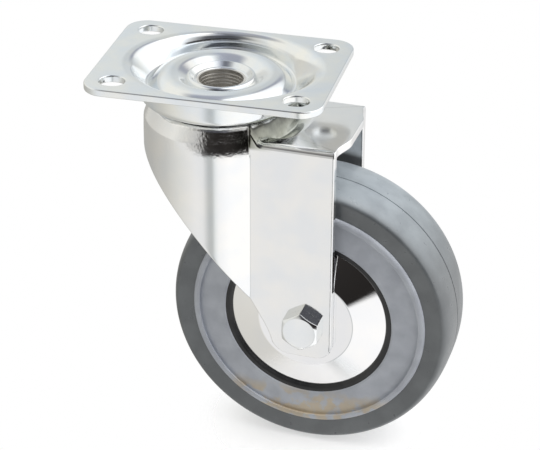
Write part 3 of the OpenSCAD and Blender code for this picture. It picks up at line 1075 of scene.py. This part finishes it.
def disc_mesh(name, place):
    """A thin cone from the turned-down edge up to the flat middle."""
    bends = [
        (DISC_R - DISC_EDGE_BEND, DISC_EDGE - DISC_EDGE_BEND, DISC_EDGE_BEND, 1),
        (DISC_FLAT_R, HUB_SIDE + DISC_T - DISC_FLAT_BEND, DISC_FLAT_BEND, 1),
    ]
    under = [(x, z, radius - DISC_T, side) for x, z, radius, side in bends]
    upper = sheet_face(bends, 0, 90, 10) + [(LINER_R, HUB_SIDE + DISC_T)]
    lower = sheet_face(under, 0, 90, 10) + [(LINER_R, HUB_SIDE)]
    return turned(name, upper + lower[::-1], place, FINE * 2)


def ring_mesh(name, outer, inner, low, high, fillet, place):
    corners = [(inner, low), (outer, low), (outer, high), (inner, high)]
    return turned(name, rounded([(r, x, fillet) for r, x in corners]), place, COARSE)


# ------------------------ axle


def hex_radius(angle, flats, corner_r):
    """Distance from the axis to the rounded hexagon's side, with a corner at angle 0."""
    turn = (angle + math.pi / 6) % (math.pi / 3) - math.pi / 6
    centre = (flats / 2 - corner_r) / math.cos(math.pi / 6)
    reach = centre * math.tan(math.pi / 6) * math.cos(math.pi / 6)
    flat_turn = math.pi / 6 - abs(turn)
    if math.tan(flat_turn) * flats / 2 <= reach:
        return flats / 2 / math.cos(flat_turn)
    s = math.sin(abs(turn)) * centre
    return math.cos(turn) * centre + math.sqrt(max(0.0, corner_r**2 - s * s))


def hexagon_mesh(name, flats, height, bore, chamfer_low, place):
    """A hexagon along +Z from 0 to height, chamfered by a cone on top and, if asked, below."""
    steps = 144
    flat_r = flats * HEX_FLAT_SHARE
    points = []
    for i in range(steps):
        angle = 2 * math.pi * i / steps
        side = hex_radius(angle, flats, HEX_CORNER_R)
        drop = (side - flat_r) * HEX_CHAMFER
        top = height - drop
        foot = drop if chamfer_low else 0.0
        rings = [
            (bore, height), (flat_r - 0.15, height), (flat_r, height - 0.02), (side - 0.12, top + 0.05),
            (side - 0.03, top - 0.03), (side, top - 0.15), (side, foot + 0.15), (side - 0.03, foot + 0.03),
            (side - 0.12, max(foot - 0.05, 0.0)), (flat_r, 0.0), (bore, 0.0),
        ]
        points += [(r * math.cos(angle), r * math.sin(angle), z) for r, z in rings]
    n = len(points) // steps
    return make_mesh(name, points, ring_faces(steps, n, n if bore else n - 1), place)


def thread_mesh(name, low, high, place):
    """A shank along Z with a plain middle and a metric thread towards its low end."""
    steps = 48
    rows = int((high - low) / THREAD_ROW)
    points = []
    for k in range(rows + 1):
        z = low + (high - low) * k / rows
        chamfer = max(0.0, 0.6 - (z - low)) * 0.8
        cut = smooth_step((low + THREAD_L - z) / 1.5)
        for i in range(steps):
            wave = abs(((z / THREAD_PITCH - i / steps) % 1) * 2 - 1)
            r = BOLT_R - THREAD_DEPTH * cut * smooth_step(wave) - chamfer
            angle = 2 * math.pi * i / steps
            points.append((r * math.cos(angle), r * math.sin(angle), z))
    faces = []
    for k in range(rows):
        for i in range(steps):
            j = (i + 1) % steps
            faces.append((k * steps + i, k * steps + j, (k + 1) * steps + j, (k + 1) * steps + i))
    faces.append(tuple(range(steps)))
    faces.append(tuple(range(rows * steps, (rows + 1) * steps)))
    return make_mesh(name, points, faces, place)


# ------------------------ build


def build_plate():
    make_piece(plate_mesh(), "plate", "top_plate", "zinc_plate")
    make_piece(kingpin_mesh(), "plate", "kingpin", "kingpin_steel")
    make_piece(pin_head_mesh(), "plate", "kingpin", "zinc_plate")
    make_piece(race_mesh(), "plate", "lower_race", "race_steel")
    upper = ball_mesh("upper_ball_set", RACE_R, UPPER_BALL_D, BALL_Z)
    make_piece(upper, "upper_balls", "upper_balls", "bearing_steel")
    lower = ball_mesh("lower_ball_set", LOWER_RACE_R, LOWER_BALL_D, LOWER_BALL_Z)
    make_piece(lower, "lower_balls", "lower_balls", "bearing_steel")


def build_fork():
    """The fork's pressing and the axle's bolt, washer and lock nut, with the nylon ring in its collar."""
    make_piece(fork_mesh(), "fork", "fork", "zinc_fork")
    quarter = Matrix.Rotation(math.pi / 2, 4, "Z")
    head_place = ON_AXLE @ Matrix.Translation((0, 0, LEG_Y)) @ quarter
    head = hexagon_mesh("bolt_head", HEX_AF, HEAD_H, 0.0, False, head_place)
    make_piece(head, "fork", "axle_bolt", "zinc_bolt")
    seat = -LEG_Y - WASHER_T
    shank = thread_mesh("bolt_shank", seat - BOLT_END, LEG_Y, ON_AXLE)
    make_piece(shank, "fork", "axle_bolt", "zinc_bolt")
    washer = ring_mesh("plain_washer", WASHER_R, BOLT_R + 0.1, seat, -LEG_Y, 0.15, ON_AXLE)
    make_piece(washer, "fork", "axle_washer", "zinc_bolt")
    turned_over = Matrix.Rotation(math.pi, 4, "X")
    nut_place = ON_AXLE @ Matrix.Translation((0, 0, seat)) @ turned_over @ quarter
    nut = hexagon_mesh("lock_nut", HEX_AF, NUT_H, BOLT_R, True, nut_place)
    make_piece(nut, "fork", "axle_nut", "zinc_bolt")
    base = seat - NUT_H
    end = base - NUT_COLLAR_H
    inside = base - 0.4
    outline = [
        (BOLT_R, base, 0), (NUT_COLLAR_R, base, 0), (NUT_COLLAR_R, end, 0.6), (NUT_RING_R, end, 0.2),
        (NUT_RING_R, inside, 0), (BOLT_R, inside, 0),
    ]
    collar = turned("nut_collar", rounded(outline), ON_AXLE, COARSE)
    make_piece(collar, "fork", "axle_nut", "zinc_bolt")
    lock = ring_mesh("nylon_lock_ring", NUT_RING_R, BOLT_R - 0.2, end + 0.3, inside, 0.15, ON_AXLE)
    make_piece(lock, "fork", "nut_lock_ring", "blue_nylon")


def build_wheel():
    make_piece(tyre_mesh(), "wheel", "tyre", "grey_rubber")
    make_piece(centre_mesh(), "wheel", "wheel_centre", "grey_centre")
    make_piece(core_mesh(), "wheel", "hub_core", "black_core")
    make_piece(disc_mesh("disc_outer", ON_AXLE), "wheel", "cover_disc_outer", "bright_zinc")
    make_piece(disc_mesh("disc_inner", ON_AXLE_BACK), "wheel", "cover_disc_inner", "bright_zinc")


def finish_hidden():
    """The CAD nodes that keep their shapes, inside the wheel."""
    looks = {
        "axle_sleeve": "race_steel", "hub_washers": "pale_nylon", "bearing_liner": "race_steel",
        "roller_cage": "pale_nylon", "bearing_rollers": "bearing_steel",
    }
    for node, slot in looks.items():
        for material_slot in frame["nodes"][node].material_slots:
            material_slot.material = LOOKS[slot]


# ------------------------ studio

# The camera's place, in degrees and millimetres
CAMERA_AZIMUTH = 14.108
CAMERA_ELEVATION = 28.693
CAMERA_ROLL = -0.24
CAMERA_DISTANCE = 585.0
CAMERA_LENS = 137.32
CAMERA_OFFSET = (13.402, 16.53)
CAMERA_HEIGHT_ZERO = -68.05

FLOOR_FADE = (36.0, 18.0)
FLOOR_GREY = 0.95
FLOOR_ROUGHNESS = 0.9

# Where the room's bands meet, in degrees of height
TABLE_END = (-14, -10)
LOW_WALL_END = (14, 26)
WALL_END = (52, 66)

# The lamp, in metres and watts
LAMP_PLACE = (0.3, 0.1, 0.5)
LAMP_AIM = (0.02, 0, -0.1)
LAMP_SIZE = 0.5
LAMP_POWER = 3.1


def build_camera():
    a = math.radians(CAMERA_AZIMUTH)
    e = math.radians(CAMERA_ELEVATION)
    back = Vector((math.sin(a) * math.cos(e), -math.cos(a) * math.cos(e), math.sin(e)))
    right = Vector((math.cos(a), math.sin(a), 0))
    turn = Matrix.Rotation(math.radians(-CAMERA_ROLL), 3, back)
    right = turn @ right
    up = back.cross(right)
    place = right * CAMERA_OFFSET[0] + up * CAMERA_OFFSET[1] + back * CAMERA_DISTANCE
    place.z += CAMERA_HEIGHT_ZERO
    data = bpy.data.cameras.new("camera")
    data.lens = CAMERA_LENS
    data.sensor_width = 36.0
    data.clip_start = 0.01
    data.clip_end = 20.0
    camera = add_object(data)
    turned_to = Matrix((right, up, back)).transposed().to_4x4()
    camera.matrix_world = Matrix.Translation(place * MM) @ turned_to
    bpy.context.scene.camera = camera


def around(net, direction, stops):
    """Colours round the horizon. Each stop is (degrees left of straight behind, level, tint)."""
    turn = net.nodes.new("ShaderNodeMapping")
    turn.inputs["Rotation"].default_value = (0, 0, math.radians(-90 - CAMERA_AZIMUTH))
    circle = net.nodes.new("ShaderNodeTexGradient")
    circle.gradient_type = "RADIAL"
    net.links.new(direction, turn.inputs["Vector"])
    net.links.new(turn.outputs["Vector"], circle.inputs["Vector"])
    colours = [(degrees / 360 + 0.5, [level * t for t in tint]) for degrees, level, tint in stops]
    return ramp(net, circle.outputs["Fac"], colours)


def between_heights(net, height, limits, below, above):
    """Changes from one colour to the other as the direction climbs through the limits, in degrees."""
    share = zone(net, height, [math.sin(math.radians(limit)) for limit in limits])
    return mixed(net, share, below, above)


PLAIN = (1.0, 1.0, 1.0)
COOL = (0.97, 1.0, 1.0)
BLUE = (0.93, 0.96, 1.1)
BROWN = (1.1, 1.0, 0.95)
CREAM = (1.0, 0.99, 0.94)
TABLE = [
    (-180, 1.1, PLAIN), (-160, 1.2, PLAIN), (-60, 1.2, PLAIN), (-25, 0.8, PLAIN), (15, 0.47, CREAM),
    (55, 0.53, CREAM), (90, 0.65, CREAM), (115, 0.83, CREAM), (143, 0.95, PLAIN), (153, 0.93, PLAIN),
    (162, 0.6, COOL), (167, 0.6, COOL), (172, 0.95, COOL), (180, 1.1, PLAIN),
]
LOW_WALLS = [
    (-180, 0.02, BROWN), (-138, 0.03, BROWN), (-135, 1.0, PLAIN), (-120, 1.7, PLAIN), (-62, 1.6, PLAIN),
    (-40, 0.9, COOL), (-28, 0.6, COOL), (-18, 0.75, COOL), (5, 0.8, COOL), (35, 0.75, CREAM),
    (65, 0.72, CREAM), (110, 0.95, CREAM), (132, 0.8, CREAM), (150, 0.6, PLAIN), (157, 0.03, BROWN),
    (180, 0.02, BROWN),
]
WALLS = [
    (-180, 0.1, BLUE), (-163, 0.14, BLUE), (-145, 0.7, PLAIN), (-125, 1.5, PLAIN), (-60, 1.4, PLAIN),
    (-38, 1.1, PLAIN), (-31, 0.45, BLUE), (-26, 0.45, BLUE), (-19, 0.72, COOL), (-6, 0.72, COOL),
    (5, 0.86, COOL), (30, 1.02, CREAM), (110, 1.0, CREAM), (132, 0.7, CREAM), (147, 0.16, PLAIN),
    (162, 0.09, BLUE), (180, 0.1, BLUE),
]
CEILING = [
    (-180, 0.55, BLUE), (-150, 1.2, PLAIN), (-60, 2.0, PLAIN), (-25, 0.8, COOL), (0, 0.5, BLUE),
    (40, 0.45, BLUE), (90, 0.42, PLAIN), (120, 0.3, BLUE), (160, 0.2, BLUE), (180, 0.55, BLUE),
]


def build_world():
    """A studio: a white table, pale walls with a large soft light on the right, and a dark camera side.
    The camera itself sees white behind the castor."""
    world = bpy.data.worlds.new("studio")
    bpy.context.scene.world = world
    world.use_nodes = True
    net = world.node_tree
    direction = net.nodes.new("ShaderNodeTexCoord").outputs["Generated"]
    split = net.nodes.new("ShaderNodeSeparateXYZ")
    net.links.new(direction, split.inputs["Vector"])
    room = around(net, direction, TABLE)
    for limits, band in ((TABLE_END, LOW_WALLS), (LOW_WALL_END, WALLS), (WALL_END, CEILING)):
        above = around(net, direction, band)
        room = between_heights(net, split.outputs["Z"], limits, room, above)
    seen = net.nodes.new("ShaderNodeLightPath").outputs["Is Camera Ray"]
    net.links.new(mixed(net, seen, room, PLAIN), net.nodes["Background"].inputs["Color"])


def build_lamp():
    """A soft light that evens out the rubber. The polished faces show the room's reflections only."""
    data = bpy.data.lights.new("overhead", "AREA")
    data.shape = "RECTANGLE"
    data.size = LAMP_SIZE
    data.size_y = LAMP_SIZE
    data.energy = LAMP_POWER
    data.use_shadow = False
    lamp = add_object(data)
    lamp.location = LAMP_PLACE
    aim = Vector(LAMP_AIM) - Vector(LAMP_PLACE)
    lamp.rotation_euler = aim.to_track_quat("-Z", "Y").to_euler()
    lamp.visible_glossy = False


def build_floor():
    """The bit of the white table that the castor stands on, which fades out towards its rim."""
    middle = ON_AXLE.translation
    edge = arc(middle, FLOOR_FADE[0], 0, 360, COARSE)[:-1]
    mesh = bpy.data.meshes.new("floor")
    mesh.from_pydata([Vector((x, y, floor_z)) * MM for x, y in edge], [], [tuple(range(COARSE))])
    material = new_material("white floor")
    net, shader = tree(material)
    shader.inputs["Roughness"].default_value = FLOOR_ROUGHNESS
    shader.inputs["Base Color"].default_value = (FLOOR_GREY, FLOOR_GREY, FLOOR_GREY, 1)
    x, y, _ = object_axes(net)
    radius = distance(net, (x, middle.x), (y, middle.y))
    net.links.new(zone(net, radius, metres(FLOOR_FADE)), shader.inputs["Alpha"])
    mesh.materials.append(material)
    add_object(mesh)


build_plate()
build_fork()
build_wheel()
finish_hidden()
build_camera()
build_world()
build_lamp()
build_floor()
bpy.context.scene.view_settings.view_transform = "Standard"
